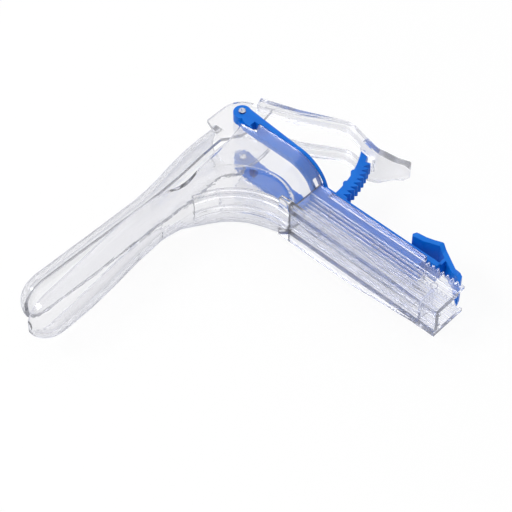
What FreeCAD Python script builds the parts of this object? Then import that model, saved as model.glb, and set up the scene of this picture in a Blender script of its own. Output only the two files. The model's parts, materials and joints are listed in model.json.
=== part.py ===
import FreeCAD, Part
import math
import os
import re
import Sketcher

# Bivalve speculum, disposable, lying on its side as it is stored.
# Row frame: +Z is the lateral axis, up. The blades point along -X and the handle along -Y.
# Every part is drawn about the middle of the hinge line, halfway between the two pivot studs,
# and then placed so that the origin is the middle of the handle's flat front, where it is held.
# All sizes are in millimetres and angles in degrees.

doc = FreeCAD.newDocument("BivalveSpeculum")
sheet = doc.addObject("Spreadsheet::Sheet", "Sizes")

SIZES = [
    # Fits and clearances
    ("stud_play", 0.08, "radial running clearance of a pivot stud in its boss"),
    ("side_play", 0.4, "gap between parts that slide or swing past each other"),
    # Upper blade
    ("upper_tip", -126.5, "X of the upper blade's tip"),
    ("upper_half", 10.4, "half width of the upper blade along its length"),
    ("upper_rim_tip", -0.5, "Y of the upper rim at the tip"),
    ("upper_rim_root", -2.2, "Y of the upper rim at the root of the ears"),
    ("upper_crown_tip", 7.8, "Y of the upper crown near the tip"),
    ("upper_crown_waist", 6.8, "Y of the upper crown at the waist"),
    ("upper_crown_mouth", 11.2, "Y of the upper crown at the mouth"),
    ("nose_long", 12.0, "length of the rounded nose of either blade"),
    ("blade_wall", 1.8, "wall of both blades"),
    ("ear_radius", 10.8, "radius of an ear about the hinge line"),
    ("mouth_edge", -9.0, "X where the upper crown ends at the mouth"),
    ("ear_root", -14.0, "X where the rim turns down into the ears"),
    ("ear_drop", 7.0, "depth of the ears below the hinge line"),
    ("upper_flare", -22.0, "X where the upper blade reaches its full height"),
    ("stud_radius", 1.5, "radius of a pivot stud"),
    ("stud_proud", 0.8, "height of a stud's end above its boss"),
    ("stud_dimple", 0.5, "radius of the dimple in a stud's end"),
    # Thumb lever
    ("lever_top_x", 14.8, "X of the lever's outer face at its top"),
    ("lever_top_y", 2.9, "Y of the lever's outer face at its top"),
    ("lever_knee_x", 20.8, "X of the outer face at the upper knee"),
    ("lever_knee_y", -13.9, "Y of the outer face at the upper knee"),
    ("lever_bend_x", 31.2, "X of the outer face where the lever turns back"),
    ("lever_bend_y", -34.0, "Y of the outer face where the lever turns back"),
    ("lever_waist_x", 27.9, "X of the outer face at the waist above the thumb rest"),
    ("lever_waist_y", -51.0, "Y of the outer face at the waist above the thumb rest"),
    ("lever_tip_x", 35.6, "X of the thumb rest's outer edge"),
    ("lever_tip_y", -63.6, "Y of the thumb rest's outer edge"),
    ("bar_thick", 4.4, "thickness of the lever's bars"),
    ("tab_thick", 2.8, "thickness of the lever's plate and thumb rest"),
    ("bar_inner", 7.4, "half width of the opening between the lever's bars"),
    ("bar_groove_width", 1.5, "width of the groove along a bar"),
    ("bar_groove_deep", 0.9, "depth of the groove along a bar"),
    ("lever_open_end", 43.0, "distance from the hinge line down to the end of the opening"),
    ("notch_half", 3.8, "half width of the ratchet's notch"),
    ("notch_end", 50.7, "distance from the hinge line down to the end of the notch"),
    ("tab_root_half", 10.4, "half width of the tab's root"),
    ("tab_tip_half", 4.6, "half width of the tab's rounded tip"),
    # Lower blade
    ("lower_tip", -131.2, "X of the lower blade's tip"),
    ("lower_half", 11.2, "half width of the lower blade along its length"),
    ("lower_rim_tip", -7.4, "Y of the lower rim at the tip"),
    ("lower_rim_waist", -2.9, "Y of the lower rim at the waist"),
    ("lower_crown_tip", -17.6, "Y of the lower crown near the tip"),
    ("lower_crown_waist", -12.3, "Y of the lower crown at the waist"),
    ("waist_at", -60.0, "X of the waist of the blades"),
    ("flare_end", -33.0, "X where the throat reaches its full width"),
    ("bend_x", -50.5, "X of the centre of the throat's bend"),
    ("bend_y", -42.0, "Y of the centre of the throat's bend"),
    ("bend_radius", 29.0, "outer radius of the throat's bend"),
    ("throat_rim", -8.5, "Y of the lower rim along the throat"),
    ("mouth_corner_x", -5.3, "X of the flank's corner at the mouth"),
    ("mouth_corner_y", -4.7, "Y of the flank's corner at the mouth"),
    ("side_wall", 1.5, "wall of the throat's flanks"),
    ("flank_back", -0.4, "X of the back edge of the throat's flanks"),
    # Handle
    ("handle_front", -21.5, "X of the handle's front face"),
    ("handle_back", -2.2, "X of the handle's back edges"),
    ("handle_half", 8.0, "half width of the handle"),
    ("handle_end", 123.7, "distance from the hinge line down to the handle's end"),
    ("front_wall", 2.2, "wall of the handle's front"),
    ("wall_upper", 2.1, "wall of the handle's sides beside the slide"),
    ("wall_lower", 3.0, "wall of the handle's sides below the slide"),
    ("ledge_at", -7.4, "X of the ledges under the slide"),
    ("lip_deep", 1.4, "depth along X of the lips over the slide's flanges"),
    ("lip_reach", 1.2, "reach of a lip over a flange"),
    ("lip_end", 103.2, "distance down to the end of the lips and the start of the rack"),
    ("fin_half", 11.4, "half width of the front wall's side fins at the top"),
    ("fin_taper", 80.0, "distance down to where the fins start to narrow"),
    ("fin_end", 113.0, "distance down to where the fins run out"),
    ("rib_width", 1.0, "width of a rib inside the front wall"),
    ("rib_tall", 1.3, "height of a rib inside the front wall"),
    ("rib_inside", 3.0, "Z of the inner pair of ribs"),
    ("rib_outside", 6.5, "Z of the outer pair of ribs"),
    ("pad_half", 9.5, "half width of the thicker pad inside the throat's bend"),
    ("pad_thick", 0.8, "thickness that the pad adds"),
    ("end_web", 115.0, "distance down to the web across the handle's end"),
    ("rack_pitch", 2.43, "pitch of the handle's rack"),
    ("rack_tip", -3.8, "X of the rack's tooth tips"),
    ("rack_deep", 1.5, "depth of the rack's teeth"),
    # Yoke and slide
    ("arm_wall", 2.7, "thickness of an arm"),
    ("boss_outer", 17.0, "Z of the outer face of a boss, of the arm's raised edge and of the flanks"),
    ("boss_radius", 3.8, "radius of a pivot boss"),
    ("arm_front", -5.1, "X of an arm's front edge"),
    ("arm_back", 1.3, "X of an arm's back edge at the bow"),
    ("raised_low", 10.2, "distance from the hinge line down to the foot of a boss's raised face"),
    ("bow_drop", 31.0, "distance from the hinge line down to the centre of the bow"),
    ("slide_back", 0.4, "X of the slide's back face"),
    ("slide_strip", 2.1, "thickness of the slide's back strip"),
    ("flange_deep", 2.9, "thickness of the slide's inner flanges"),
    ("slide_top", 52.0, "distance down to where the yoke's foot meets the slide"),
    ("flange_end", 102.6, "distance down to the end of the slide's flanges"),
    ("strip_end", 108.0, "distance down to the end of the slide's strip"),
    # Ratchet arc
    ("arc_inner", 51.0, "inner radius of the ratchet arc about the hinge line"),
    ("arc_root", 54.0, "radius of the roots of the ratchet's teeth"),
    ("arc_tip", 56.4, "radius of the tips of the ratchet's teeth"),
    ("arc_hinge", 54.2, "distance down to the line where the ratchet arc's root bends"),
    ("arc_half", 3.1, "half width of the ratchet arc"),
    ("arc_start", -88.8, "angle of the ratchet arc's root about the hinge line"),
    ("arc_sweep", 33.0, "angle that the ratchet arc spans"),
    ("tooth_pitch", 2.75, "angle between the ratchet's teeth"),
    ("tooth_first", 2.2, "angle from the arc's root to its first tooth"),
    # Release catch
    ("catch_half", 6.0, "half width of the release catch"),
    ("pawl_half", 7.6, "half width of the pawl's edge"),
    ("ridge_tall", 0.8, "height of the ridges on the thumb pad"),
]

# Sizes that follow from the ones above. Across the instrument, each layer lies inside the next
# one out: ears, then yoke arms, then flanks level with the bosses.
FOLLOWING = {
    "arm_outer": "boss_outer - side_wall - side_play",
    "arm_inner": "arm_outer - arm_wall",
    "ear_outer": "arm_inner - side_play",
    "ear_inner": "ear_outer - blade_wall",
    "stud_end": "boss_outer + stud_proud",
    "track_half": "handle_half - wall_upper",
    "slide_half": "track_half - side_play",
    "slide_front": "ledge_at + side_play",
    "neck_at": "bow_drop + sqrt(boss_outer ^ 2 - handle_half ^ 2)",
}

ALIASES = [alias for alias, size, note in SIZES]
for line, (alias, size, note) in enumerate(SIZES, start=1):
    sheet.set("A%d" % line, note)
    sheet.set("B%d" % line, str(size))
    sheet.setAlias("B%d" % line, alias)
doc.recompute()


def bound(text):
    """An expression on the sheet's cells, from one written with the names of sizes."""
    def cell(found):
        name = found.group(0)
        if name in FOLLOWING:
            return "(" + bound(FOLLOWING[name]) + ")"
        return "Sizes." + name if name in ALIASES else name

    return re.sub(r"[a-z_]+", cell, text)


def value(text):
    """What such an expression comes to now."""
    return float(sheet.evalExpression(bound(text)))


def place(part):
    """Put a part, drawn about the hinge line, where the grip's middle is the origin."""
    part.setExpression("Placement.Base.x", bound("-handle_front"))
    part.setExpression("Placement.Base.y", bound("(neck_at + handle_end) / 2"))


def new_body(label):
    body = doc.addObject("PartDesign::Body", label)
    body.Label = label
    place(body)
    return body


def origin_feature(body, role):
    for feature in body.Origin.OriginFeatures:
        if feature.Role == role:
            return feature


def sketch_on(body, plane, name, lift="0"):
    """A sketch on one of the body's own planes, moved along that plane's normal by lift.

    The normals are +Z for XY_Plane, -Y for XZ_Plane and +X for YZ_Plane.
    """
    sketch = body.newObject("Sketcher::SketchObject", name)
    sketch.AttachmentSupport = (origin_feature(body, plane), [""])
    sketch.MapMode = "FlatFace"
    sketch.setExpression("AttachmentOffset.Base.z", bound(lift))
    return sketch


def pin_point(sketch, shape, end, x, y):
    """Hold one point of a sketch at two bound distances from the sketch's origin."""
    for kind, text in (("DistanceX", x), ("DistanceY", y)):
        row = sketch.addConstraint(Sketcher.Constraint(kind, -1, 1, shape, end, value(text)))
        sketch.setExpression("Constraints[%d]" % row, bound(text))


def polygon(sketch, points):
    """A closed outline of straight lines whose corners are bound expressions."""
    spots = [FreeCAD.Vector(value(x), value(y), 0) for x, y in points]
    first = sketch.GeometryCount
    count = len(spots)
    for i in range(count):
        sketch.addGeometry(Part.LineSegment(spots[i], spots[(i + 1) % count]), False)
    for i in range(count):
        sketch.addConstraint(Sketcher.Constraint("Coincident", first + i, 2, first + (i + 1) % count, 1))
    for i, (x, y) in enumerate(points):
        pin_point(sketch, first + i, 1, x, y)


def box_outline(sketch, x1, y1, x2, y2):
    polygon(sketch, [(x1, y1), (x2, y1), (x2, y2), (x1, y2)])


def mirrored(points):
    """The same outline on the other side of the sketch's horizontal axis."""
    return [(x, "-(%s)" % y) for x, y in reversed(points)]


def disc(sketch, x, y, radius):
    centre = FreeCAD.Vector(value(x), value(y), 0)
    shape = sketch.addGeometry(Part.Circle(centre, FreeCAD.Vector(0, 0, 1), value(radius)), False)
    pin_point(sketch, shape, 3, x, y)
    row = sketch.addConstraint(Sketcher.Constraint("Radius", shape, value(radius)))
    sketch.setExpression("Constraints[%d]" % row, bound(radius))


def pad(body, sketch, length, both=False, backward=False):
    """Material over a sketch: along its normal, or half to each side of it."""
    feature = body.newObject("PartDesign::Pad", "Pad_" + sketch.Name)
    feature.Profile = sketch
    feature.setExpression("Length", bound(length))
    feature.Midplane = both
    feature.Reversed = backward
    doc.recompute()
    return feature


def pocket(body, sketch, length=None, both=False, backward=False):
    """A cut under a sketch, checked to have taken material away."""
    before = body.Tip.Shape.Volume
    feature = body.newObject("PartDesign::Pocket", "Pocket_" + sketch.Name)
    feature.Profile = sketch
    if length is None:
        feature.Type = "ThroughAll"
    else:
        feature.setExpression("Length", bound(length))
    feature.Midplane = both
    feature.Reversed = backward
    doc.recompute()
    if not feature.Shape.Volume < before - 0.01:
        raise RuntimeError("nothing cut by " + sketch.Name)
    return feature


def round_edges(body, radius, chosen):
    """Fillet the edges of the body's last feature for which chosen(edge) is true."""
    base = body.Tip
    names = ["Edge%d" % (i + 1) for i, edge in enumerate(base.Shape.Edges) if chosen(edge)]
    feature = body.newObject("PartDesign::Fillet", "Round")
    feature.Base = (base, names)
    feature.setExpression("Radius", bound(radius))
    doc.recompute()
    return feature


def along(edge, axis):
    """Whether a straight edge runs along an axis."""
    if edge.Curve.TypeId != "Part::GeomLine":
        return False
    return abs(abs(edge.tangentAt(edge.FirstParameter).dot(axis)) - 1) < 1e-6


def near(edge, x, y, reach):
    """Whether an edge's middle lies within reach of a point in plan."""
    middle = edge.CenterOfMass
    return math.hypot(middle.x - x, middle.y - y) < reach


X_AXIS = FreeCAD.Vector(1, 0, 0)
Y_AXIS = FreeCAD.Vector(0, 1, 0)
Z_AXIS = FreeCAD.Vector(0, 0, 1)


# Yoke
# Two flat arms joined by a half-round bow below the mouth. Each arm carries a pivot boss and a
# raised edge. The flanks of the lower blade lie outside the arms, in front of that edge.

yoke = new_body("yoke")
bow = sketch_on(yoke, "YZ_Plane", "Bow", "arm_front")
disc(bow, "-bow_drop", "0", "arm_outer")
disc(bow, "-bow_drop", "0", "arm_inner")
pad(yoke, bow, "arm_back - arm_front")
bow_edge = sketch_on(yoke, "YZ_Plane", "BowEdge", "flank_back + side_play")
disc(bow_edge, "-bow_drop", "0", "boss_outer")
disc(bow_edge, "-bow_drop", "0", "arm_inner")
pad(yoke, bow_edge, "arm_back - flank_back - side_play")
bow_top = sketch_on(yoke, "YZ_Plane", "BowTop", "arm_front - 1")
box_outline(bow_top, "-bow_drop", "-boss_outer - 1", "0", "boss_outer + 1")
pocket(yoke, bow_top, "arm_back - arm_front + 3", backward=True)

ARM_BACK = [("0.93 * boss_radius", "-0.2 * boss_radius"), ("arm_back", "-bow_drop")]
ARM_FRONT = [("arm_front", "-bow_drop"), ("arm_front", "-5.5"), ("-0.93 * boss_radius", "-0.2 * boss_radius")]
EDGE_FRONT = [("flank_back + side_play", "-bow_drop"), ("flank_back + side_play", "-raised_low"),
              ("arm_front + 1.1", "-raised_low + 0.9"), ("arm_front + 1.1", "-5.5"),
              ("-0.6 * boss_radius", "-0.3 * boss_radius")]
for side, sign in (("Left", ""), ("Right", "-")):
    arm = sketch_on(yoke, "XY_Plane", side + "Arm", sign + "(arm_inner)")
    polygon(arm, ARM_BACK + ARM_FRONT)
    pad(yoke, arm, "arm_outer - arm_inner", backward=bool(sign))
    raised = sketch_on(yoke, "XY_Plane", side + "Raised", sign + "(arm_inner)")
    polygon(raised, ARM_BACK + EDGE_FRONT)
    pad(yoke, raised, "boss_outer - arm_inner", backward=bool(sign))
    boss = sketch_on(yoke, "XY_Plane", side + "Boss", sign + "(arm_inner)")
    disc(boss, "0", "0", "boss_radius")
    pad(yoke, boss, "boss_outer - arm_inner", backward=bool(sign))

# Stud holes, a square window in each arm, and two windows in the bow.
holes = sketch_on(yoke, "XY_Plane", "StudHoles")
disc(holes, "0", "0", "stud_radius + stud_play")
pocket(yoke, holes, "4 * boss_outer", both=True)
windows = sketch_on(yoke, "XY_Plane", "ArmWindows")
box_outline(windows, "arm_front + 1.4", "-raised_low - 1.2", "flank_back - 0.2", "-raised_low + 2.4")
pocket(yoke, windows, "4 * boss_outer", both=True)
foot_windows = sketch_on(yoke, "XZ_Plane", "FootWindows", "bow_drop + 1")
for way in ("", "-"):
    box_outline(foot_windows, "arm_front + 1.2", way + "(0.24 * arm_outer)", "flank_back + 0.1",
                way + "(0.63 * arm_outer)")
pocket(yoke, foot_windows, "arm_outer + 5", backward=True)

# The collar carries the bow's load down into the slide.
collar = sketch_on(yoke, "XZ_Plane", "Collar", "neck_at - 1.4")
box_outline(collar, "slide_front", "-slide_half", "slide_back", "slide_half")
pad(yoke, collar, "slide_top - neck_at + 1.4")


# Slide
# A flat strip over the handle's open back, with a narrow neck between the handle's lips and
# flanges behind them that keep it in its track.

slide = new_body("slide")
strip = sketch_on(slide, "XZ_Plane", "Strip", "slide_top")
box_outline(strip, "slide_back - slide_strip", "-slide_half", "slide_back", "slide_half")
pad(slide, strip, "strip_end - slide_top")
neck = sketch_on(slide, "XZ_Plane", "Neck", "slide_top")
box_outline(neck, "slide_front + flange_deep - 0.1", "-slide_half + lip_reach",
            "slide_back - slide_strip + 0.1", "slide_half - lip_reach")
pad(slide, neck, "flange_end - slide_top")
flange = sketch_on(slide, "XZ_Plane", "Flange", "slide_top")
box_outline(flange, "slide_front", "-slide_half", "slide_front + flange_deep", "slide_half")
pad(slide, flange, "flange_end - slide_top")
hollow = sketch_on(slide, "YZ_Plane", "Hollow", "slide_front")
box_outline(hollow, "-flange_end + 2.5", "-0.6 * slide_half", "-slide_top - 3", "0.6 * slide_half")
pocket(slide, hollow, "flange_deep - 1.0", backward=True)


# Handle
# A channel that is open at the back and at the end. Its front wall carries side fins, ribs and
# a web across, and its back edges carry the rack.

handle = new_body("handle")
block = sketch_on(handle, "XZ_Plane", "Block", "neck_at")
box_outline(block, "handle_front", "-handle_half", "handle_back", "handle_half")
pad(handle, block, "handle_end - neck_at")
fins = sketch_on(handle, "YZ_Plane", "Fins", "handle_front")
polygon(fins, [("-neck_at", "-fin_half"), ("-fin_taper", "-fin_half"), ("-fin_end", "-handle_half + 0.1"),
               ("-fin_end", "handle_half - 0.1"), ("-fin_taper", "fin_half"), ("-neck_at", "fin_half")])
pad(handle, fins, "front_wall")
channel = sketch_on(handle, "XZ_Plane", "Channel", "neck_at")
box_outline(channel, "handle_front + front_wall", "-handle_half + wall_lower", "handle_back + 1",
            "handle_half - wall_lower")
pocket(handle, channel, "handle_end", backward=True)
track = sketch_on(handle, "XZ_Plane", "Track", "neck_at")
box_outline(track, "ledge_at", "-track_half", "handle_back + 1", "track_half")
pocket(handle, track, "handle_end", backward=True)
lips = sketch_on(handle, "XZ_Plane", "Lips", "slide_top + side_play")
box_outline(lips, "handle_back - lip_deep", "track_half - lip_reach", "handle_back",
            "track_half + 0.5")
box_outline(lips, "handle_back - lip_deep", "-track_half - 0.5", "handle_back",
            "-track_half + lip_reach")
pad(handle, lips, "lip_end - slide_top - side_play")
ribs = sketch_on(handle, "XZ_Plane", "Ribs", "neck_at")
for way in ("", "-"):
    box_outline(ribs, "handle_front + front_wall - 0.1", way + "(rib_inside - rib_width / 2)",
                "handle_front + front_wall + rib_tall", way + "(rib_inside + rib_width / 2)")
pad(handle, ribs, "handle_end - neck_at")
web = sketch_on(handle, "XZ_Plane", "EndWeb", "end_web - 0.6")
box_outline(web, "handle_front + 0.5", "-handle_half + wall_lower - 0.5", "ledge_at - 5.0",
            "handle_half - wall_lower + 0.5")
pad(handle, web, "1.2")

# The rack: the back edges are lowered to the tooth tips, then notched.
lowered = sketch_on(handle, "XY_Plane", "RackTop")
box_outline(lowered, "rack_tip", "-handle_end - 1", "handle_back + 1", "-lip_end")
pocket(handle, lowered, "4 * handle_half", both=True)
notch = sketch_on(handle, "XY_Plane", "RackNotch")
polygon(notch, [("rack_tip + 0.2", "-lip_end - 0.2"), ("rack_tip", "-lip_end - 0.2"),
                ("rack_tip - rack_deep", "-lip_end - 0.2 - 0.78 * rack_pitch"),
                ("rack_tip", "-lip_end - 0.2 - 0.88 * rack_pitch"),
                ("rack_tip + 0.2", "-lip_end - 0.2 - 0.88 * rack_pitch")])
first_notch = pocket(handle, notch, "4 * handle_half", both=True)
rack = handle.newObject("PartDesign::LinearPattern", "Rack")
rack.Originals = [first_notch]
rack.Direction = (origin_feature(handle, "Y_Axis"), [""])
rack.Reversed = True
rack.Occurrences = 8
rack.setExpression("Length", bound("7 * rack_pitch"))
handle.Tip = rack
doc.recompute()


# Thumb lever
# Two bars run down from the ears and join in a plate, which turns outward as a thumb rest.
# The ratchet arc passes through the notch at the foot of the opening.

lever = new_body("thumb_lever")
side = sketch_on(lever, "XY_Plane", "Side")
OUTER = [("lever_top_x", "lever_top_y"), ("lever_knee_x", "lever_knee_y"), ("lever_bend_x", "lever_bend_y"),
         ("lever_waist_x", "lever_waist_y"), ("lever_tip_x", "lever_tip_y")]
THICK = ["bar_thick", "bar_thick", "tab_thick + 0.5", "tab_thick", "tab_thick"]


def inward(index):
    """The unit vector from a corner of the lever's outer face to its inner face."""
    spots = [FreeCAD.Vector(value(x), value(y), 0) for x, y in OUTER]
    runs = [(b - a).normalize() for a, b in zip(spots, spots[1:])]
    before = runs[max(index - 1, 0)]
    after = runs[min(index, len(runs) - 1)]
    mean = (before + after).normalize()
    return (mean.y, -mean.x)


INNER_FACE = []
for i, (x, y) in enumerate(OUTER):
    nx, ny = inward(i)
    INNER_FACE.append(("%s + %.4f * (%s)" % (x, nx, THICK[i]), "%s + %.4f * (%s)" % (y, ny, THICK[i])))
polygon(side, OUTER + INNER_FACE[::-1])
pad(lever, side, "2 * ear_outer", both=True)


def knee(edge):
    if not along(edge, Z_AXIS):
        return False
    corners = [OUTER[1], OUTER[2], OUTER[3]] + INNER_FACE[1:4]
    return any(near(edge, value(x), value(y), 0.1) for x, y in corners)


round_edges(lever, "9", knee)
opening = sketch_on(lever, "YZ_Plane", "Opening", "-1")
polygon(opening, [("-lever_open_end", "-bar_inner + 1.8"), ("lever_knee_y", "-bar_inner"),
                  ("lever_top_y + 2", "-bar_inner"), ("lever_top_y + 2", "bar_inner"),
                  ("lever_knee_y", "bar_inner"), ("-lever_open_end", "bar_inner - 1.8")])
pocket(lever, opening, "3 * lever_tip_x", backward=True)
passage = sketch_on(lever, "YZ_Plane", "Passage", "-1")
box_outline(passage, "-notch_end", "-notch_half", "-lever_open_end + 1", "notch_half")
pocket(lever, passage, "3 * lever_tip_x", backward=True)
edges = sketch_on(lever, "YZ_Plane", "Edges", "-1")
cheek = [("lever_knee_y", "ear_outer"), ("lever_knee_y", "ear_outer + 9"), ("lever_tip_y - 9", "ear_outer + 9"),
         ("lever_tip_y - 9", "0.8"), ("lever_tip_y - 1.6", "tab_tip_half - 2.2"),
         ("lever_tip_y + 0.6", "tab_tip_half"), ("lever_tip_y + 5", "tab_tip_half + 1.2"),
         ("lever_waist_y - 3", "tab_root_half - 1.8"), ("lever_waist_y + 3", "tab_root_half")]
polygon(edges, cheek)
polygon(edges, mirrored(cheek))
pocket(lever, edges, "3 * lever_tip_x", backward=True)
for side_name, sign in (("Left", ""), ("Right", "-")):
    groove = sketch_on(lever, "XY_Plane", side_name + "Groove", sign + "(ear_outer + 0.5)")
    middle = []
    for i in range(3):
        nx, ny = inward(i)
        middle.append((i, nx, ny))
    upper_edge = []
    lower_edge = []
    for i, nx, ny in middle:
        x, y = OUTER[i]
        first = "(%s - bar_groove_width) / 2" % THICK[i].replace("tab_thick + 0.5", "(tab_thick + 0.5)")
        last = "(%s + bar_groove_width) / 2" % THICK[i].replace("tab_thick + 0.5", "(tab_thick + 0.5)")
        shift = {0: -4.0, 1: 0.0, 2: 2.0}[i]
        upper_edge.append(("%s + %.4f * %s" % (x, nx, first), "%s + %.4f * %s + %.1f" % (y, ny, first, shift)))
        lower_edge.append(("%s + %.4f * %s" % (x, nx, last), "%s + %.4f * %s + %.1f" % (y, ny, last, shift)))
    polygon(groove, upper_edge + lower_edge[::-1])
    pocket(lever, groove, "bar_groove_deep + 0.5", backward=bool(sign))


# Ratchet arc
# It is moulded on the slide's back face and bends about the hinge line, so that its teeth meet
# the end of the lever's notch one after another.

ratchet = new_body("ratchet_arc")
arc_ring = sketch_on(ratchet, "XY_Plane", "Ring")
disc(arc_ring, "0", "0", "arc_tip")
disc(arc_ring, "0", "0", "arc_inner")
pad(ratchet, arc_ring, "2 * arc_half", both=True)


def polar(radius, angle):
    """A bound point at a radius and an angle about the hinge line."""
    return ("(%s) * cos((%s) * 1deg)" % (radius, angle), "(%s) * sin((%s) * 1deg)" % (radius, angle))


beyond = sketch_on(ratchet, "XY_Plane", "Beyond")
polygon(beyond, [("0", "0"), polar("arc_tip * 3", "arc_start + arc_sweep"), ("arc_tip * 3", "arc_tip * 3"),
                 ("-arc_tip * 3", "arc_tip * 3"), ("-arc_tip * 3", "-arc_tip * 3"),
                 ("slide_back", "-arc_tip * 3"), ("slide_back", "-arc_hinge"),
                 ("slide_back + 0.08 * (arc_hinge - arc_inner + 2)", "-arc_inner + 2"),
                 ("slide_back + 0.1", "-arc_inner + 4")])
pocket(ratchet, beyond, "4 * arc_half", both=True)
bumps = sketch_on(ratchet, "XY_Plane", "Bumps")
for turn in ("0.27", "0.51"):
    x, y = polar("arc_inner + 0.6", "arc_start + %s * arc_sweep" % turn)
    disc(bumps, x, y, "1.5")
pad(ratchet, bumps, "2 * arc_half", both=True)
gullet = sketch_on(ratchet, "XY_Plane", "Gullet")
polygon(gullet, [polar("arc_tip + 0.4", "arc_start + tooth_first"),
                 polar("arc_root", "arc_start + tooth_first + 0.25"),
                 polar("arc_root", "arc_start + tooth_first + 0.45"),
                 polar("arc_tip + 0.4", "arc_start + tooth_first + tooth_pitch * 0.97")])
first_gullet = pocket(ratchet, gullet, "4 * arc_half", both=True)
teeth = ratchet.newObject("PartDesign::PolarPattern", "Teeth")
teeth.Originals = [first_gullet]
teeth.Axis = (origin_feature(ratchet, "Z_Axis"), [""])
teeth.Occurrences = 8
teeth.setExpression("Angle", bound("7 * tooth_pitch"))
ratchet.Tip = teeth
doc.recompute()
smooth = sketch_on(ratchet, "XY_Plane", "SmoothEnd")
polygon(smooth, [polar("arc_root", "arc_start + tooth_first + 8.2 * tooth_pitch"),
                 polar("arc_tip + 2", "arc_start + tooth_first + 8 * tooth_pitch"),
                 polar("arc_tip + 2", "arc_start + arc_sweep + 2"),
                 polar("arc_root", "arc_start + arc_sweep + 2"),
                 polar("arc_root + 0.12", "arc_start + arc_sweep - 4")])
pocket(ratchet, smooth, "4 * arc_half", both=True)


# Release catch
# A bent lever on a thin web at the slide's end. Its upper end is the thumb pad, and its lower
# end is the pawl over the handle's rack.

catch = new_body("release_catch")
catch_side = sketch_on(catch, "XY_Plane", "CatchSide")
polygon(catch_side, [("slide_back + 4.5", "-strip_end + 18.1"), ("slide_back + 5.9", "-strip_end + 17.1"),
                     ("slide_back + 6.5", "-strip_end + 12.5"), ("slide_back + 7.6", "-strip_end + 9"),
                     ("slide_back + 9.1", "-strip_end + 5.4"), ("slide_back - 0.9", "-strip_end - 11.8"),
                     ("rack_tip + 0.4", "-strip_end - 12.9"), ("rack_tip + 0.55", "-strip_end - 11.7"),
                     ("slide_back - 2.4", "-strip_end - 10.6"), ("slide_back + 3.2", "-strip_end - 0.4"),
                     ("slide_back", "-strip_end - 0.4"), ("slide_back", "-strip_end + 0.9"),
                     ("slide_back + 3.9", "-strip_end + 0.9"), ("slide_back + 6.6", "-strip_end + 5.4"),
                     ("slide_back + 5.4", "-strip_end + 8.6"), ("slide_back + 4.0", "-strip_end + 12"),
                     ("slide_back + 3.3", "-strip_end + 17.3")])
pad(catch, catch_side, "2 * pawl_half", both=True)
catch_width = sketch_on(catch, "YZ_Plane", "CatchWidth", "rack_tip - 1")
waist = [("-strip_end + 20", "catch_half - 1.4"), ("-strip_end + 17.2", "catch_half - 0.2"),
         ("-strip_end + 15.5", "catch_half"), ("-strip_end + 6", "catch_half"),
         ("-strip_end + 3", "catch_half - 1.4"), ("-strip_end - 6", "catch_half - 1.4"),
         ("-strip_end - 10", "pawl_half"), ("-strip_end - 20", "pawl_half"),
         ("-strip_end - 20", "pawl_half + 4"), ("-strip_end + 20", "pawl_half + 4")]
polygon(catch_width, waist)
polygon(catch_width, mirrored(waist))
pocket(catch, catch_width, "40", backward=True)
ridge = sketch_on(catch, "XY_Plane", "Ridges")
for step in range(3):
    x = "slide_back + 5.9 + 0.14 * %d" % step
    y = "-strip_end + 16.4 - 2.3 * %d" % step
    polygon(ridge, [(x + " - 1", y + " + 0.5"), (x + " + ridge_tall", y), (x + " - 1", y + " - 1.0")])
pad(catch, ridge, "2 * catch_half - 1.2", both=True)


# Blades
# Both are half tubes that flare from a rounded nose to the mouth, drawn through cross-sections.
# A section runs down one wall, round the crown and up the other wall.


def section(spot, half, shoulder, fullness, top):
    """One cross-section as five runs of control points: wall, two curves, wall and closing line.

    spot turns a depth above the crown and a Z into a point in space, and half gives the half
    width at a depth. The walls are straight from top to shoulder and curved from there to the
    crown: fullness is 0.55 for a quarter ellipse and nearer 1 for a boxy corner.
    """
    wide = half(shoulder)
    corner = [(shoulder, wide), (shoulder * (1 - fullness), wide), (0, wide * (1 - fullness)), (0, 0)]
    left = [spot(depth, z) for depth, z in corner]
    right = [spot(depth, -z) for depth, z in reversed(corner)]
    left_top = spot(top, half(top))
    right_top = spot(top, -half(top))
    return [[left_top, left[0]], left, right, [right[-1], right_top], [right_top, left_top]]


def run_curve(poles):
    curve = Part.BezierCurve()
    curve.setPoles(poles)
    return curve.toShape()


def surface_through(runs, reach):
    """The surface through one run of control points of each section, reach being their spacing."""
    rows = []
    for poles in zip(*runs):
        row = Part.BSplineCurve()
        row.interpolate(Points=list(poles), Parameters=reach)
        rows.append(row)
    surface = Part.BSplineSurface()
    surface.buildFromPolesMultsKnots([row.getPoles() for row in rows], [len(rows)] * 2,
                                     rows[0].getMultiplicities(), [0.0, 1.0], rows[0].getKnots(),
                                     False, False, len(rows) - 1, rows[0].Degree)
    return surface


def loft(sections, stops):
    """The solid through cross-sections, closed flat at its first and last.

    stops are the numbers of the sections that divide its skin. A stretch of several sections is
    one smooth surface, and a stretch between neighbours runs straight from one to the other.
    """
    reach = [0.0]
    for one, other in zip(sections, sections[1:]):
        steps = [a.distanceToPoint(b) for run_a, run_b in zip(one, other) for a, b in zip(run_a, run_b)]
        reach.append(reach[-1] + max(steps))
    faces = []
    for strip in zip(*sections):
        whole = surface_through(strip, reach)
        for first, last in zip(stops, stops[1:]):
            if last == first + 1:
                part = surface_through(strip[first:last + 1], reach[first:last + 1])
            else:
                part = whole.copy()
                part.segment(0.0, 1.0, reach[first], reach[last])
            faces.append(part.toShape())
    for end in (sections[0], sections[-1]):
        faces.append(Part.Face(Part.Wire([run_curve(run) for run in end])))
    hull = Part.Compound(faces)
    hull.sewShape()
    solid = Part.Solid(hull.Shells[0])
    if solid.Volume < 0:
        solid.reverse()
    return solid


def spline_through(spots):
    curve = Part.BSplineCurve()
    curve.interpolate([FreeCAD.Vector(x, y, 0) for x, y in spots])
    return curve.toShape()


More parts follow.
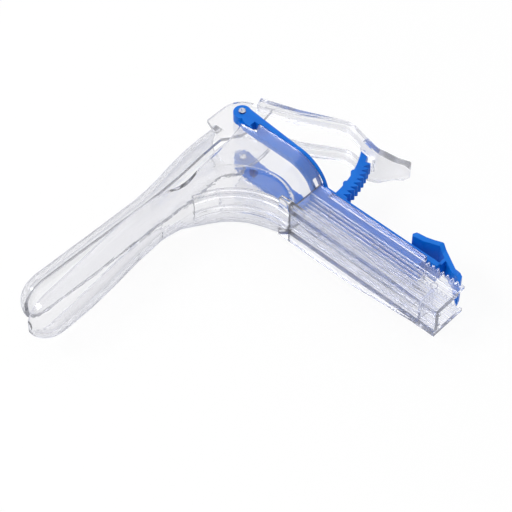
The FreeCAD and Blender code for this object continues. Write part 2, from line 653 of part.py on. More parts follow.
def plate(edges, low, high):
    """The solid between two heights whose outline is made of these edges."""
    face = Part.Face(Part.Wire(edges))
    face.translate(FreeCAD.Vector(0, 0, low))
    return face.extrude(FreeCAD.Vector(0, 0, high - low))


def lines(spots):
    spots = [FreeCAD.Vector(x, y, 0) for x, y in spots]
    return [Part.makeLine(a, b) for a, b in zip(spots, spots[1:])]


def slab(x1, x2, y1, y2, z1, z2):
    return Part.makeBox(x2 - x1, y2 - y1, z2 - z1, FreeCAD.Vector(x1, y1, z1))


def blend(x, spots):
    """A smooth curve's height at x, through spots in order of x."""
    if x <= spots[0][0]:
        return spots[0][1]
    for (x1, y1), (x2, y2) in zip(spots, spots[1:]):
        if x <= x2:
            share = (x - x1) / (x2 - x1)
            share = share * share * (3 - 2 * share)
            return y1 + (y2 - y1) * share
    return spots[-1][1]


def nose(x, tip, length):
    """How far the rounded nose has opened at x, from 0 at its tip to 1."""
    reach = min(max((x - tip) / length, 0.0), 1.0)
    return math.sqrt(1 - (1 - reach) ** 2)


def spread(first, last, count):
    """Evenly spaced places after first, up to and with last."""
    return [first + (last - first) * (step + 1) / count for step in range(count)]


WALL = value("blade_wall")
WAIST = value("waist_at")
NOSE = value("nose_long")
NOSE_SHARES = (0.012, 0.08, 0.25, 0.55, 1.0)
NOSE_END = len(NOSE_SHARES) - 1
STRAIGHT_FROM = 0.85  # share of a blade's depth below which its walls are straight


# Upper blade

UPPER_TIP = value("upper_tip")
FLARE = value("upper_flare")
MOUTH = value("mouth_edge")
EAR_ROOT = value("ear_root")
EAR_IN = value("ear_inner")
EAR_OUT = value("ear_outer")
UPPER_CROWN = [(UPPER_TIP, value("upper_crown_tip")), (WAIST, value("upper_crown_waist")),
               (FLARE, value("upper_crown_mouth"))]
UPPER_WIDTH = [(WAIST + 0.12 * (FLARE - WAIST), value("upper_half")), (WAIST + 0.8 * (FLARE - WAIST), EAR_OUT)]
UPPER_FULLNESS = [(WAIST, 0.56), (MOUTH, 0.85)]
UPPER_RIM = [(UPPER_TIP, value("upper_rim_tip")), (WAIST + 0.5 * (FLARE - WAIST), value("upper_rim_root")),
             (EAR_ROOT, -0.8)]


def upper_section(x, tip, length, thinner):
    opened = nose(x, tip, length)
    rim = blend(x, UPPER_RIM)
    crown = rim + (blend(x, UPPER_CROWN) - thinner - rim) * opened
    wide = (blend(x, UPPER_WIDTH) - thinner) * (0.12 + 0.88 * opened)
    return section(lambda depth, z: FreeCAD.Vector(x, crown - depth, z), lambda depth: wide,
                   STRAIGHT_FROM * (crown - rim), blend(x, UPPER_FULLNESS), crown - rim + 3 + thinner)


def upper_loft(thinner, last):
    tip = UPPER_TIP + thinner
    length = NOSE - thinner
    places = [tip + length * share for share in NOSE_SHARES]
    places += spread(places[-1], WAIST, 3) + spread(WAIST, MOUTH, 6) + ([last] if last > MOUTH else [])
    stops = [0] + list(range(NOSE_END, len(places)))
    return loft([upper_section(x, tip, length, thinner) for x in places], stops)


shell = upper_loft(0, MOUTH).cut(upper_loft(WALL, MOUTH + 6))
rim_spots = [(x, blend(x, UPPER_RIM)) for x in [UPPER_TIP - 4] + spread(UPPER_TIP, WAIST, 3) + spread(WAIST, EAR_ROOT, 4)]
shell = shell.common(plate([spline_through(rim_spots)]
                           + lines([rim_spots[-1], (MOUTH + 3, -3), (MOUTH + 3, 30), (UPPER_TIP - 4, 30), rim_spots[0]]),
                           -2 * EAR_OUT, 2 * EAR_OUT))

# The ears meet the lever's bars on the line of the bars' inner faces.
top_x, top_y, knee_x, knee_y = [value(text) for corner in INNER_FACE[:2] for text in corner]
run = math.hypot(knee_x - top_x, knee_y - top_y)
EAR_LOW = value("ear_drop")
seat = (top_x + (knee_x - top_x) / run * EAR_LOW, top_y + (knee_y - top_y) / run * EAR_LOW)
ear_top = math.hypot(top_x, top_y)
between = (math.atan2(top_y, top_x) + math.pi / 2) / 2
ear_arc = Part.Arc(FreeCAD.Vector(top_x, top_y, 0),
                   FreeCAD.Vector(ear_top * math.cos(between), ear_top * math.sin(between), 0),
                   FreeCAD.Vector(0, ear_top, 0)).toShape()
ear_edges = [ear_arc] + lines([(0, ear_top), (MOUTH - 1, value("upper_crown_mouth") - 0.4), (MOUTH - 4, 3),
                               (EAR_ROOT - 1, -0.6), (EAR_ROOT, -0.8), (MOUTH + 2, 1 - EAR_LOW), (3, -EAR_LOW),
                               seat, (top_x, top_y)])
for way in (1, -1):
    ear = plate(ear_edges, *sorted((way * EAR_IN, way * EAR_OUT)))
    stud_from = EAR_OUT - 1
    stud_end = FreeCAD.Vector(0, 0, way * value("stud_end"))
    stud = Part.makeCylinder(value("stud_radius"), value("stud_end") - stud_from,
                             FreeCAD.Vector(0, 0, way * stud_from), FreeCAD.Vector(0, 0, way))
    dimple = Part.makeCylinder(value("stud_dimple"), 0.4, stud_end, FreeCAD.Vector(0, 0, -way))
    shell = shell.fuse(ear).fuse(stud).cut(dimple)
upper = doc.addObject("Part::Feature", "upper_blade")
upper.Label = "upper_blade"
upper.Shape = shell.removeSplitter()
place(upper)


# Lower blade

LOWER_TIP = value("lower_tip")
BEND_X = value("bend_x")
BEND_Y = value("bend_y")
BEND = value("bend_radius")
NECK = value("neck_at")
BOW = value("bow_drop")
SIDE = value("side_wall")
FLANK = value("boss_outer")
FRONT = value("handle_front")
LOWER_CROWN = [(LOWER_TIP, value("lower_crown_tip")), (LOWER_TIP + 2 * NOSE, value("lower_crown_tip") + 0.6),
               (WAIST, value("lower_crown_waist")), (BEND_X, BEND_Y + BEND)]
LOWER_RIM = [(LOWER_TIP, value("lower_rim_tip")), (LOWER_TIP + NOSE, value("lower_rim_tip") + 0.3),
             (WAIST, value("lower_rim_waist")), (BEND_X, value("lower_rim_waist") - 1.2)]
FLARE_FROM = WAIST + 0.4 * (BEND_X - WAIST)
NECK_SHOULDER = 5  # depth of the neck's rounded corners
NECK_FULLNESS = 0.88


def lower_half(x, y, thinner):
    """Half width at a point: full between the flare and the bow, and round below the bow."""
    width = blend(x, [(FLARE_FROM, value("lower_half")), (value("flare_end"), FLANK)]) - thinner
    if y < -BOW:
        ring = (FLANK - thinner) ** 2 - (y + BOW) ** 2
        floor = value("track_half") if thinner else value("handle_half")
        width = min(width, math.sqrt(max(ring, floor ** 2)))
    return width


def straight_section(x, tip, length, thinner):
    opened = nose(x, tip, length)
    rim = blend(x, LOWER_RIM)
    crown = rim + (blend(x, LOWER_CROWN) + thinner - rim) * opened
    wide = (lower_half(x, 0, 0) - thinner) * (0.12 + 0.88 * opened)
    return section(lambda depth, z: FreeCAD.Vector(x, crown + depth, z), lambda depth: wide,
                   STRAIGHT_FROM * (rim - crown), 0.56, rim - crown + 3 + thinner)


def fan_section(share, thinner):
    """A section on a plane through the centre of the throat's bend, from blade (0) to neck (1)."""
    angle = math.radians(90 * (1 - share))
    wall = WALL + (SIDE - WALL) * share if thinner else 0

    def spot(depth, z):
        reach = BEND + thinner + depth
        return FreeCAD.Vector(BEND_X + reach * math.cos(angle), BEND_Y + reach * math.sin(angle), z)

    def half(depth):
        point = spot(depth, 0)
        return lower_half(point.x, point.y, wall)

    top = BEND * (0.4 + 0.95 * math.sin(math.pi / 2 * min(share * 2, 1)) - 0.4 * share)
    blade_shoulder = STRAIGHT_FROM * (blend(BEND_X, LOWER_RIM) - BEND_Y - BEND - thinner)
    shoulder = blade_shoulder + (NECK_SHOULDER - blade_shoulder) * share
    return section(spot, half, shoulder, 0.56 + (NECK_FULLNESS - 0.56) * share, top + thinner)


def neck_section(y, thinner):
    return section(lambda depth, z: FreeCAD.Vector(FRONT + thinner + depth, y, z),
                   lambda depth: lower_half(0, y, SIDE if thinner else 0), NECK_SHOULDER, NECK_FULLNESS,
                   26 + thinner)


def lower_loft(thinner):
    tip = LOWER_TIP + thinner
    length = NOSE - thinner
    places = [tip + length * share for share in NOSE_SHARES]
    places += spread(places[-1], WAIST, 4) + spread(WAIST, BEND_X, 3)
    sections = [straight_section(x, tip, length, thinner) for x in places]
    sections += [fan_section(share, thinner) for share in spread(0, 1, 9)]
    sections += [neck_section(y, thinner) for y in [(BEND_Y - NECK) / 2, -NECK]]
    stops = [0] + list(range(NOSE_END, len(places))) + [len(sections) - 1]
    if thinner:
        stops.append(len(sections))
        sections.append(neck_section(-NECK - 1, thinner))
    return loft(sections, stops)


fin = slab(FRONT, FRONT + value("front_wall"), -NECK, BEND_Y + 1.5, -value("fin_half"), value("fin_half"))
shell = lower_loft(0).fuse(fin).cut(lower_loft(WALL))
rim_spots = [(LOWER_TIP - 4, value("lower_rim_tip")), (LOWER_TIP + NOSE, value("lower_rim_tip") + 0.3),
             ((LOWER_TIP + WAIST) / 2, (value("lower_rim_tip") + value("lower_rim_waist")) / 2 + 0.4),
             (WAIST, value("lower_rim_waist")), (BEND_X - 1.5, value("lower_rim_waist") - 1.5),
             (BEND_X + 6.5, value("throat_rim") + 0.3), (BEND_X + 17.5, value("throat_rim") - 0.4),
             (BEND_X + 28.5, value("throat_rim") + 0.5), (value("mouth_corner_x"), value("mouth_corner_y"))]
notch_x = value("arm_front + 1.1 - side_play")
raised_low = value("raised_low")
flank_x = value("flank_back")
shell = shell.common(plate([spline_through(rim_spots)]
                           + lines([rim_spots[-1], (notch_x, -raised_low - 2.3), (flank_x - 1, -raised_low - 0.2),
                                    (flank_x, -raised_low - 0.2), (flank_x, -NECK), (LOWER_TIP - 4, -NECK),
                                    rim_spots[0]]), -2 * FLANK, 2 * FLANK))

# A thicker pad and four ribs line the bend inside and run on down the neck.
RIB = value("rib_width") / 2
lining = [(-value("pad_half"), value("pad_half"), value("pad_thick"))]
for spot in (value("rib_inside"), value("rib_outside")):
    for way in (1, -1):
        lining.append((way * spot - RIB, way * spot + RIB, value("rib_tall") + value("front_wall") - WALL))
for low, high, tall in lining:
    near_edge = BEND + WALL - 0.3
    far_edge = BEND + WALL + tall
    centre = FreeCAD.Vector(BEND_X, BEND_Y, low)
    bent = Part.makeCylinder(far_edge, high - low, centre, Z_AXIS, 75)
    shell = shell.fuse(bent.cut(Part.makeCylinder(near_edge, high - low, centre, Z_AXIS)))
    shell = shell.fuse(slab(BEND_X + near_edge, BEND_X + far_edge, -NECK, BEND_Y, low, high))
lower = doc.addObject("Part::Feature", "lower_blade")
lower.Label = "lower_blade"
lower.Shape = shell.removeSplitter()
place(lower)


# Every part is checked and written to its own file.

doc.recompute()
for thing in doc.Objects:
    if "Invalid" in thing.State or "Error" in thing.State:
        raise RuntimeError(thing.Name + " did not recompute: " + str(thing.State))
os.makedirs("parts", exist_ok=True)
for node in (lower, handle, upper, lever, yoke, slide, ratchet, catch):
    if node.Shape.isNull() or not node.Shape.isValid() or len(node.Shape.Solids) != 1:
        raise RuntimeError(node.Label + " is not one sound solid: %d" % len(node.Shape.Solids))
    node.Shape.exportStep("parts/" + node.Label + ".step")
    box = node.Shape.BoundBox
    print("%-14s %8.0f mm3  X %.1f..%.1f  Y %.1f..%.1f  Z %.1f..%.1f"
          % (node.Label, node.Shape.Volume, box.XMin, box.XMax, box.YMin, box.YMax, box.ZMin, box.ZMax))
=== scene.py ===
# %% [markdown]
# # A disposable speculum in clear and blue plastic
# The instrument lies on its side on a white table. It is made of three mouldings: a clear one
# with the lower blade and the handle, a clear one with the upper blade and the thumb lever, and a
# blue one that joins them. The solid model gives every shape, so this scene brings it in, gives
# each moulding its plastic, and adds the marks that a mould leaves.

# %% Bring in the solid model
import bmesh
import bpy
import json
import math
from mathutils import Matrix, Vector


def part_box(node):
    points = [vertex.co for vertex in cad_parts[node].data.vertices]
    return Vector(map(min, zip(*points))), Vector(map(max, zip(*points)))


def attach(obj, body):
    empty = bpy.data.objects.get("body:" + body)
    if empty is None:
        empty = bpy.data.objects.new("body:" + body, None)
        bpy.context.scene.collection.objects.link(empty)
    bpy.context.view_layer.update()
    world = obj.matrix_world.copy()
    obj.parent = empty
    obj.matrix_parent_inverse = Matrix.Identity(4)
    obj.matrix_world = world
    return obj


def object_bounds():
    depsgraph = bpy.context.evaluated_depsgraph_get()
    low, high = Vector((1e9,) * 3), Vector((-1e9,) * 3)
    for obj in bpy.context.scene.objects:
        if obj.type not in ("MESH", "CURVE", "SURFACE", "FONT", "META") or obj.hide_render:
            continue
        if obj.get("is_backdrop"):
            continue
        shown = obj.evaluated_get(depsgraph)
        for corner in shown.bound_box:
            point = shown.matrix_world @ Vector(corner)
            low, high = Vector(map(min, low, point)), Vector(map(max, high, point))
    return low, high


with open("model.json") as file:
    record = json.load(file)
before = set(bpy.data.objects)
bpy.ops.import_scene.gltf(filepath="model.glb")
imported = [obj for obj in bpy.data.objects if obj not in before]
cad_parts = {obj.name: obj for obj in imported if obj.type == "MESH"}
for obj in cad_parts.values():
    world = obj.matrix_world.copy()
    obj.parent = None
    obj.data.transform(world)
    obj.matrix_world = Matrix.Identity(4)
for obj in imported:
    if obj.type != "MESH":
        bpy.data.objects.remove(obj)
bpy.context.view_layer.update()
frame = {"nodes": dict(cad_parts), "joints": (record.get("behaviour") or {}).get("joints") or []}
MM = 0.001

# %% [markdown]
# ## Colours
# A colour picked from a photograph is written for a screen, with a curve on it. The shaders
# reckon in linear light, so one function takes the screen's hex value back to linear.


# %% Screen colour to linear light
def linear(hex_colour):
    channels = [int(hex_colour[i:i + 2], 16) / 255 for i in (1, 3, 5)]
    curve = [c / 12.92 if c <= 0.04045 else ((c + 0.055) / 1.055) ** 2.4 for c in channels]
    return (*curve, 1.0)


CLEAR_FACE = linear("#FAFAFB")
CLEAR_EDGE = linear("#CDD2E6")
CLEAR_LINE = linear("#D2DAF4")
CLEAR_MILK = linear("#F2F3F8")
BLUE_PIGMENT = linear("#007AE0")
BLUE_DEEP = linear("#0060C8")
PAPER_WHITE = linear("#FAFAFA")
PURE_WHITE = linear("#FFFFFF")
print("blue in linear light:", [round(c, 3) for c in BLUE_PIGMENT[:3]])

# %% [markdown]
# ## Building a material
# Every finish below is a small tree of nodes. One helper adds a node, sets its values and links
# its inputs, by name or in their order, so that a finish reads as a list of what it is made of.


# %% Helper that adds one node
def add(tree, kind, settings=None, in_order=(), **links):
    """in_order fills the first inputs with numbers or sockets, and links fills inputs by name."""
    node = tree.nodes.new(kind)
    for name, value in (settings or {}).items():
        if name in node.inputs:
            node.inputs[name].default_value = value
        else:
            setattr(node, name, value)
    by_name = [(name.replace("_", " "), source) for name, source in links.items()]
    for where, source in [*enumerate(in_order), *by_name]:
        if isinstance(source, bpy.types.NodeSocket):
            tree.links.new(source, node.inputs[where])
        else:
            node.inputs[where].default_value = source
    return node


def new_finish(name):
    finish = bpy.data.materials.new(name)
    finish.use_nodes = True
    finish.node_tree.nodes.clear()
    return finish


# %% [markdown]
# ## Clear polystyrene: the skin that the mould leaves
# The blades and the handle are general purpose polystyrene, injection moulded in a polished
# steel mould. The melt flowed along each piece, which leaves soft streaks some 1.5 mm wide and
# much longer. The handle's walls also show fine lines along their length, as the cutter left
# them in the mould. Both are far too shallow to model, so they are a bump on the surface. Bands
# of a wave texture make the lines, and noise drawn out along the flow makes the streaks.

# %% Streaks and lines of the clear skin
STREAK_MM = 1.5
DRAWN_OUT = 0.06
SKIN_RELIEF = 0.0003
WAVE_BAND = 20 / (2 * math.pi)


def clear_skin(tree, flow, line_mm):
    """flow is the axis that the melt ran along, 0 for X and 1 for Y. line_mm spaces the lines."""
    place = add(tree, "ShaderNodeTexCoord")
    squeeze = [1.0, 1.0, 1.0]
    squeeze[flow] = DRAWN_OUT
    along = add(tree, "ShaderNodeMapping", {"Scale": squeeze}, Vector=place.outputs["Object"])
    streaks = add(tree, "ShaderNodeTexNoise",
                  {"Scale": 1000 / STREAK_MM, "Detail": 2.0, "Roughness": 0.5},
                  Vector=along.outputs["Vector"]).outputs["Fac"]
    height, line = streaks, None
    if line_mm:
        wave = add(tree, "ShaderNodeTexWave",
                   {"Scale": 1 / (WAVE_BAND * line_mm * MM), "bands_direction": "X"},
                   Vector=place.outputs["Object"])
        line = add(tree, "ShaderNodeMapRange", {"From Min": 0.93, "From Max": 0.99},
                   Value=wave.outputs["Fac"]).outputs["Result"]
        height = add(tree, "ShaderNodeMath", {"operation": "ADD"}, [streaks, line]).outputs["Value"]
    relief = add(tree, "ShaderNodeBump", {"Strength": 0.12, "Distance": SKIN_RELIEF}, Height=height)
    return streaks, line, relief.outputs["Normal"]


print("streaks are", STREAK_MM, "mm wide and", round(STREAK_MM / DRAWN_OUT), "mm long")

# %% [markdown]
# ## Clear polystyrene: how light goes through
# Polystyrene is as clear as glass, with an index of 1.59. A glass shader alone turns a stack of
# thin walls dark and restless, so where a wall faces the eye, a small share of the light goes
# straight through, as in a wall too thin to shift what is behind it. Where the wall turns away,
# nearly all of the light is bent. There the eye looks along the plastic, which shows its faint
# blue. Fine raised lines gather a little of that blue too.

# %% Light that a clear wall lets through or bends
POLYSTYRENE_INDEX = 1.59
EDGE_NARROWNESS = 4.0
LINE_STRENGTH = 0.55
MOST_BENT = 0.98


def clear_wall(tree, line, normal, bent_least):
    turned = add(tree, "ShaderNodeLayerWeight", {"Blend": 0.5}, Normal=normal)
    edge = add(tree, "ShaderNodeMath", {"operation": "POWER"},
               [turned.outputs["Facing"], EDGE_NARROWNESS]).outputs["Value"]
    shade = edge
    if line is not None:
        faint = add(tree, "ShaderNodeMath", {"operation": "MULTIPLY"}, [line, LINE_STRENGTH])
        shade = add(tree, "ShaderNodeMath", {"operation": "MAXIMUM"},
                    [edge, faint.outputs["Value"]]).outputs["Value"]
    deepest = CLEAR_EDGE if line is None else CLEAR_LINE
    tint = add(tree, "ShaderNodeMix", {"data_type": "RGBA", "A": CLEAR_FACE, "B": deepest},
               Factor=shade).outputs["Result"]
    straight = add(tree, "ShaderNodeBsdfTransparent", Color=tint).outputs["BSDF"]
    bent = add(tree, "ShaderNodeBsdfGlass", {"IOR": POLYSTYRENE_INDEX, "Roughness": 0.0},
               Color=tint, Normal=normal).outputs["BSDF"]
    bend_share = add(tree, "ShaderNodeMapRange", {"To Min": bent_least, "To Max": MOST_BENT},
                     Value=edge).outputs["Result"]
    wall = add(tree, "ShaderNodeMixShader", None, [bend_share, straight, bent])
    return wall.outputs["Shader"], straight, edge


print("a clear wall bends up to", MOST_BENT, "of the light")

# %% [markdown]
# ## Clear polystyrene: the whole finish
# Three things are laid over the clear wall. A little milk is the light that the plastic scatters
# inside. A sheen lies on the outer surface, stronger where it turns away, and use has given it a
# fine haze 0.8 mm across. Last, the lamps' light goes through thin clear walls in reality and
# lights what lies behind, which a glass shader leaves in shade. So most of it is let through.

# %% Clear polystyrene
HAZE_MM = 0.8
LIGHT_LET_THROUGH = 0.7


def clear_polystyrene(name, flow, milk, bent_least=0.88, line_mm=None):
    """milk is the share of light scattered, bent_least the share bent by a wall seen face on."""
    finish = new_finish(name)
    tree = finish.node_tree
    streaks, line, normal = clear_skin(tree, flow, line_mm)
    wall, straight, edge = clear_wall(tree, line, normal, bent_least)

    cloud = add(tree, "ShaderNodeBsdfDiffuse", {"Color": CLEAR_MILK})
    cloud_share = add(tree, "ShaderNodeMapRange", {"From Min": 0.3, "From Max": 0.7,
                                                   "To Min": 0.5 * milk, "To Max": 1.5 * milk},
                      Value=streaks)
    milky = add(tree, "ShaderNodeMixShader", None,
                [cloud_share.outputs["Result"], wall, cloud.outputs["BSDF"]])

    place = add(tree, "ShaderNodeTexCoord")
    haze = add(tree, "ShaderNodeTexNoise", {"Scale": 1000 / HAZE_MM, "Detail": 3.0},
               Vector=place.outputs["Object"])
    gloss = add(tree, "ShaderNodeMapRange",
                {"From Min": 0.35, "From Max": 0.7, "To Min": 0.015, "To Max": 0.09},
                Value=haze.outputs["Fac"])
    shine = add(tree, "ShaderNodeBsdfGlossy", {"Color": PURE_WHITE},
                Roughness=gloss.outputs["Result"], Normal=normal)
    sheen = add(tree, "ShaderNodeMapRange", {"To Min": 0.0, "To Max": 0.4}, Value=edge)
    side = add(tree, "ShaderNodeNewGeometry")
    outside = add(tree, "ShaderNodeMath", {"operation": "SUBTRACT"},
                  [1.0, side.outputs["Backfacing"]])
    outer_sheen = add(tree, "ShaderNodeMath", {"operation": "MULTIPLY"},
                      [sheen.outputs["Result"], outside.outputs["Value"]])
    surface = add(tree, "ShaderNodeMixShader", None,
                  [outer_sheen.outputs["Value"], milky.outputs["Shader"], shine.outputs["BSDF"]])

    ray = add(tree, "ShaderNodeLightPath")
    let_through = add(tree, "ShaderNodeMath", {"operation": "MULTIPLY"},
                      [ray.outputs["Is Shadow Ray"], LIGHT_LET_THROUGH])
    lit = add(tree, "ShaderNodeMixShader", None,
              [let_through.outputs["Value"], surface.outputs["Shader"], straight])
    add(tree, "ShaderNodeOutputMaterial", Surface=lit.outputs["Shader"])
    return finish


# %% [markdown]
# ## The four clear finishes
# The melt ran along the blades and down the handle and the lever, so the streaks follow each of
# them. The lever's bars are the thickest clear plastic and scatter the most light. Only the
# handle has the fine lines, 1.9 mm apart. The ribs inside it keep the same spacing.

# %% Finishes of the clear pieces
LINE_SPACING_MM = 1.9
clear_body = clear_polystyrene("clear_polystyrene_lower_blade", flow=0, milk=0.004,
                               bent_least=0.94)
clear_handle = clear_polystyrene("clear_polystyrene_handle", flow=1, milk=0.004, bent_least=0.9,
                                 line_mm=LINE_SPACING_MM)
clear_top = clear_polystyrene("clear_polystyrene_upper_blade", flow=0, milk=0.012)
clear_lever = clear_polystyrene("clear_polystyrene_lever", flow=1, milk=0.02)
print("clear finishes:", clear_body.name, clear_handle.name, clear_top.name, clear_lever.name)

# %% [markdown]
# ## Blue plastic
# The yoke, the slide, the toothed arc and the catch are a tougher plastic, coloured right
# through with a blue pigment. The pigment isn't mixed in perfectly evenly, so the blue deepens
# and lightens a little over some 6 mm. The mould was left satin, which shows as a fine grain.

# %% Blue pigmented plastic
PIGMENT_MM = 6.0
GRAIN_MM = 0.5
GRAIN_RELIEF = 0.0001


def blue_plastic(name):
    finish = new_finish(name)
    tree = finish.node_tree
    place = add(tree, "ShaderNodeTexCoord").outputs["Object"]
    mixing = add(tree, "ShaderNodeTexNoise", {"Scale": 1000 / PIGMENT_MM, "Detail": 2.0},
                 Vector=place)
    grain = add(tree, "ShaderNodeTexNoise", {"Scale": 1000 / GRAIN_MM, "Detail": 2.0},
                Vector=place)
    colour = add(tree, "ShaderNodeMix", {"data_type": "RGBA", "A": BLUE_DEEP, "B": BLUE_PIGMENT},
                 Factor=mixing.outputs["Fac"])
    gloss = add(tree, "ShaderNodeMapRange",
                {"From Min": 0.3, "From Max": 0.7, "To Min": 0.32, "To Max": 0.46},
                Value=grain.outputs["Fac"])
    relief = add(tree, "ShaderNodeBump", {"Strength": 0.12, "Distance": GRAIN_RELIEF},
                 Height=grain.outputs["Fac"])
    plastic = add(tree, "ShaderNodeBsdfPrincipled", {"IOR": 1.5, "Specular IOR Level": 0.2},
                  Base_Color=colour.outputs["Result"], Roughness=gloss.outputs["Result"],
                  Normal=relief.outputs["Normal"])
    add(tree, "ShaderNodeOutputMaterial", Surface=plastic.outputs["BSDF"])
    return finish


blue_yoke = blue_plastic("blue_plastic_yoke")
blue_moving = blue_plastic("blue_plastic_moving")
print("blue finishes:", blue_yoke.name, blue_moving.name)

# %% [markdown]
# ## Dressing the solids
# Each solid came in with a plain finish on it. Swapping the finish in its slots dresses the piece
# and leaves its shape alone.

# %% Dress the solids
FINISH_OF = {"lower_blade": clear_body, "handle": clear_handle, "upper_blade": clear_top,
             "thumb_lever": clear_lever, "yoke": blue_yoke, "slide": blue_yoke,
             "ratchet_arc": blue_moving, "release_catch": blue_moving}
for node, finish in FINISH_OF.items():
    for slot in frame["nodes"][node].material_slots:
        slot.material = finish
    print(node, "is", finish.name)

# %% [markdown]
# ## Ribs inside the handle
# Low ribs run along the inside of the handle's two side walls and stiffen them, and through the
# clear wall they show as a bundle of fine lines. They could be a bump on the wall, but a rib bends
# the light as a lens does, so each one is a real rib: a half-round section taken along the wall,
# low enough to leave the channel free. Its ends fade out, as the cutter left them in the mould.

# %% Places of the ribs
RIB_HALF = 0.45 * MM
RIB_HEIGHT = 0.28 * MM
RIB_SPACING = LINE_SPACING_MM * MM
RIB_COUNT = 5
RIB_FADE = 4 * MM
FIRST_RIB_IN = 4.9 * MM
RIB_STOPS_ABOVE_END = 13 * MM
RIB_STOPS_BELOW_TOP = 1.5 * MM
CHANNEL_HALF = 5.0 * MM
HANDLE_HALF = 8.0 * MM
SUNK = 0.02 * MM
handle_low, handle_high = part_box("handle")
rib_from = handle_low[1] + RIB_STOPS_ABOVE_END
rib_to = handle_high[1] - RIB_STOPS_BELOW_TOP
print("each rib is", round((rib_to - rib_from) / MM, 1), "mm long")


# %% A clear piece of the handle from its points and faces
def clear_piece(name, points, faces):
    mesh = bpy.data.meshes.new(name)
    mesh.from_pydata(points, [], faces)
    skin = bmesh.new()
    skin.from_mesh(mesh)
    bmesh.ops.recalc_face_normals(skin, faces=skin.faces)
    skin.to_mesh(mesh)
    skin.free()
    mesh.shade_smooth()
    mesh.materials.append(clear_handle)
    piece = bpy.data.objects.new(name, mesh)
    bpy.context.collection.objects.link(piece)
    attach(piece, "base")
    return piece


# %% One rib on a side wall
def wall_rib(name, x, side):
    """side is 1 for the wall on top and -1 for the wall that lies on the table."""
    stations = [(rib_from, 0.05), (rib_from + 0.4 * RIB_FADE, 0.7), (rib_from + RIB_FADE, 1.0),
                (rib_to - RIB_FADE, 1.0), (rib_to - 0.4 * RIB_FADE, 0.7), (rib_to, 0.05)]
    steps = 8
    points = []
    for y, share in stations:
        for step in range(steps + 1):
            angle = math.pi * step / steps
            rise = RIB_HEIGHT * share * math.sin(angle)
            points.append((x - RIB_HALF * share * math.cos(angle), y,
                           side * (CHANNEL_HALF + SUNK - rise)))
    row = steps + 1
    last = len(stations) - 1
    faces = [(i * row + j, i * row + j + 1, (i + 1) * row + j + 1, (i + 1) * row + j)
             for i in range(last) for j in range(steps)]
    faces += [(i * row + steps, i * row, (i + 1) * row, (i + 1) * row + steps)
              for i in range(last)]
    faces += [tuple(range(row)), tuple(range(last * row, (last + 1) * row))]
    return clear_piece(name, points, faces)


for number in range(RIB_COUNT):
    for word, side in (("top", 1), ("bottom", -1)):
        rib_x = handle_low[0] + FIRST_RIB_IN + number * RIB_SPACING
        wall_rib(f"handle_rib_{word}_{number + 1}", rib_x, side)
print(2 * RIB_COUNT, "ribs made")

# %% [markdown]
# ## Marks of the ejector pins
# Round pins push the handle out of its mould, and each leaves a faint ring on the side wall. A
# ring could be drawn in the finish, but it has to catch the light, so it is a real ring: a low
# half-round section turned about the middle of the pin.

# %% One ring left by an ejector pin
PIN_RADIUS = 1.5 * MM
RING_HALF = 0.18 * MM
RING_HEIGHT = 0.1 * MM


def ejector_ring(name, x, y, side):
    around, steps = 40, 6
    points = []
    for i in range(around):
        turn = 2 * math.pi * i / around
        for step in range(steps + 1):
            angle = math.pi * step / steps
            reach = PIN_RADIUS - RING_HALF * math.cos(angle)
            rise = RING_HEIGHT * math.sin(angle) - SUNK
            points.append((x + reach * math.cos(turn), y + reach * math.sin(turn),
                           side * (HANDLE_HALF + rise)))
    row = steps + 1
    faces = []
    for i in range(around):
        near, far = i * row, (i + 1) % around * row
        faces += [(near + j, near + (j + 1) % row, far + (j + 1) % row, far + j)
                  for j in range(row)]
    return clear_piece(name, points, faces)


# %% Rings at the top, the middle and the end of the handle
PIN_IN = 9.5 * MM
PIN_FROM_END = 9 * MM
pin_places = (handle_high[1] - PIN_FROM_END, 0.5 * (handle_low[1] + handle_high[1]),
              handle_low[1] + PIN_FROM_END)
for word, side in (("top", 1), ("bottom", -1)):
    for number, pin_y in enumerate(pin_places):
        ejector_ring(f"ejector_ring_{word}_{number + 1}", handle_low[0] + PIN_IN, pin_y, side)
print(2 * len(pin_places), "rings made")

# %% [markdown]
# ## The table
# The instrument lies on a white table that fills the view. Its paper is plain and matt. To the
# eye, and through the clear plastic, it glows at full white, because a light background should
# come from the paper and not from more light on the instrument. A share of the matt paper stays
# in it and keeps the soft shadow.

# %% White table
TABLE_REACH = 3.0
PAPER_GLOW = 0.9
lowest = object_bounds()[0][2]
table_mesh = bpy.data.meshes.new("table")
corners = [(x * TABLE_REACH, y * TABLE_REACH, lowest)
           for x, y in ((-1, -1), (1, -1), (1, 1), (-1, 1))]
table_mesh.from_pydata(corners, [], [(0, 1, 2, 3)])
table = bpy.data.objects.new("table", table_mesh)
bpy.context.collection.objects.link(table)
paper = new_finish("white_paper")
tree = paper.node_tree
ray = add(tree, "ShaderNodeLightPath")
seen = add(tree, "ShaderNodeMath", {"operation": "MAXIMUM"},
           [ray.outputs["Is Camera Ray"], ray.outputs["Is Transmission Ray"]])
glow_share = add(tree, "ShaderNodeMath", {"operation": "MULTIPLY"},
                 [seen.outputs["Value"], PAPER_GLOW])
sheet = add(tree, "ShaderNodeBsdfDiffuse", {"Color": PAPER_WHITE})
glow = add(tree, "ShaderNodeEmission", {"Color": PURE_WHITE, "Strength": 1.0})
both = add(tree, "ShaderNodeMixShader", None,
           [glow_share.outputs["Value"], sheet.outputs["BSDF"], glow.outputs["Emission"]])
add(tree, "ShaderNodeOutputMaterial", Surface=both.outputs["Shader"])
table_mesh.materials.append(paper)
table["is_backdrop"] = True
print("the table is", 2 * TABLE_REACH, "m wide")

# %% [markdown]
# ## The light tent
# The light around the instrument is even, as in a tent of white cloth. The tent lights it at a
# plain level. Seen directly, in a gloss or through the plastic, the cloth is white, so the
# clear pieces have something white to bend and mirror.

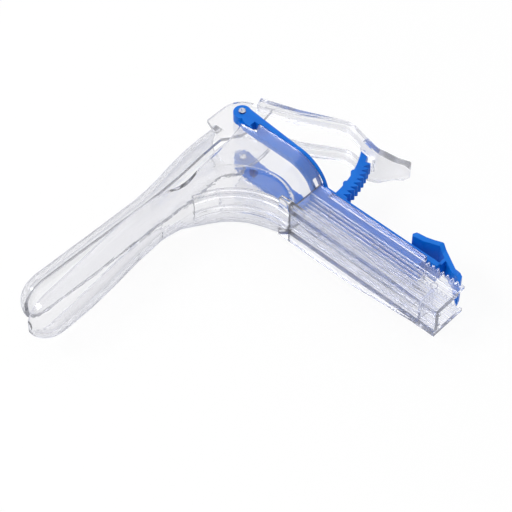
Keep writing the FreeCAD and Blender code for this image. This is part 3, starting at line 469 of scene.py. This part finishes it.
# %% Light tent
TENT_LIGHT = 0.72
world = bpy.data.worlds.new("light_tent")
bpy.context.scene.world = world
world.use_nodes = True
tent = world.node_tree
tent.nodes.clear()
tent_ray = add(tent, "ShaderNodeLightPath").outputs
seen = add(tent, "ShaderNodeMath", {"operation": "MAXIMUM"},
           [tent_ray["Is Camera Ray"], tent_ray["Is Glossy Ray"]])
seen_or_through = add(tent, "ShaderNodeMath", {"operation": "MAXIMUM"},
                      [seen.outputs["Value"], tent_ray["Is Transmission Ray"]])
strength = add(tent, "ShaderNodeMapRange", {"To Min": TENT_LIGHT, "To Max": 1.0},
               Value=seen_or_through.outputs["Value"])
cloth = add(tent, "ShaderNodeBackground", {"Color": PURE_WHITE},
            Strength=strength.outputs["Result"])
add(tent, "ShaderNodeOutputWorld", Surface=cloth.outputs["Background"])
print("the tent lights at", TENT_LIGHT)

# %% [markdown]
# ## Two soft lamps
# A tent alone leaves everything flat. A large soft lamp to the left draws the highlights along
# the blades, and a weak one behind lifts the yoke.


# %% Soft lamps
def softbox(name, offset, width, height, watts):
    lamp = bpy.data.lights.new(name, "AREA")
    lamp.shape = "RECTANGLE"
    lamp.size = width
    lamp.size_y = height
    lamp.energy = watts
    box = bpy.data.objects.new(name, lamp)
    box.location = middle + Vector(offset)
    box.rotation_euler = (-Vector(offset)).to_track_quat("-Z", "Y").to_euler()
    bpy.context.collection.objects.link(box)
    return box


middle = (Vector(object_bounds()[0]) + Vector(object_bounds()[1])) / 2
softbox("softbox_left", (-0.55, 0.35, 0.75), 0.5, 0.3, 4.0)
softbox("softbox_behind", (0.36, 0.34, 0.58), 0.55, 0.4, 0.4)
print("lamps aim at", [round(c / MM, 1) for c in middle], "mm")

# %% [markdown]
# ## Light through many walls
# A line of sight through this instrument crosses a dozen clear walls or more. Blender follows
# light through eight by default and then gives up, which shows as black patches, so the limits
# on see-through surfaces are raised.

# %% Limits on see-through surfaces
paths = bpy.context.scene.cycles
paths.transparent_max_bounces = 40
paths.transmission_bounces = 24
paths.max_bounces = 24
print("see-through surfaces allowed in a row:", paths.transparent_max_bounces)

# %% [markdown]
# ## The camera
# The photograph was taken from above and from the handle's side with a long lens. The angles and
# the distance come from matching the pivots, the blade tips and the handle's end to the picture.
# The pivot's place in the picture then fixes where the camera stands.

# %% Camera at the photograph's place
AZIMUTH = math.radians(-47.145)
ELEVATION = math.radians(50.0)
DISTANCE = 0.838
HALF_PICTURE = 256
FOCAL_PIXELS = 1967.6
PIVOT_RIGHT = -5.79 * MM
PIVOT_UP = 49.64 * MM
back = Vector((math.sin(AZIMUTH) * math.cos(ELEVATION), -math.cos(AZIMUTH) * math.cos(ELEVATION),
               math.sin(ELEVATION)))
right = Vector((math.cos(AZIMUTH), math.sin(AZIMUTH), 0))
up = back.cross(right)
lens = bpy.data.cameras.new("camera")
lens.angle = 2 * math.atan(HALF_PICTURE / FOCAL_PIXELS)
camera = bpy.data.objects.new("camera", lens)
turn = Matrix((right, up, back)).transposed()
hinge = next(Vector(joint["pos_m"]) for joint in frame["joints"] if joint["name"] == "blade_hinge")
place = hinge + back * DISTANCE - right * PIVOT_RIGHT - up * PIVOT_UP
camera.matrix_world = Matrix.Translation(place) @ turn.to_4x4()
bpy.context.collection.objects.link(camera)
bpy.context.scene.camera = camera
bpy.context.scene.view_settings.view_transform = "Standard"
print("camera at", [round(c, 3) for c in place], "m")
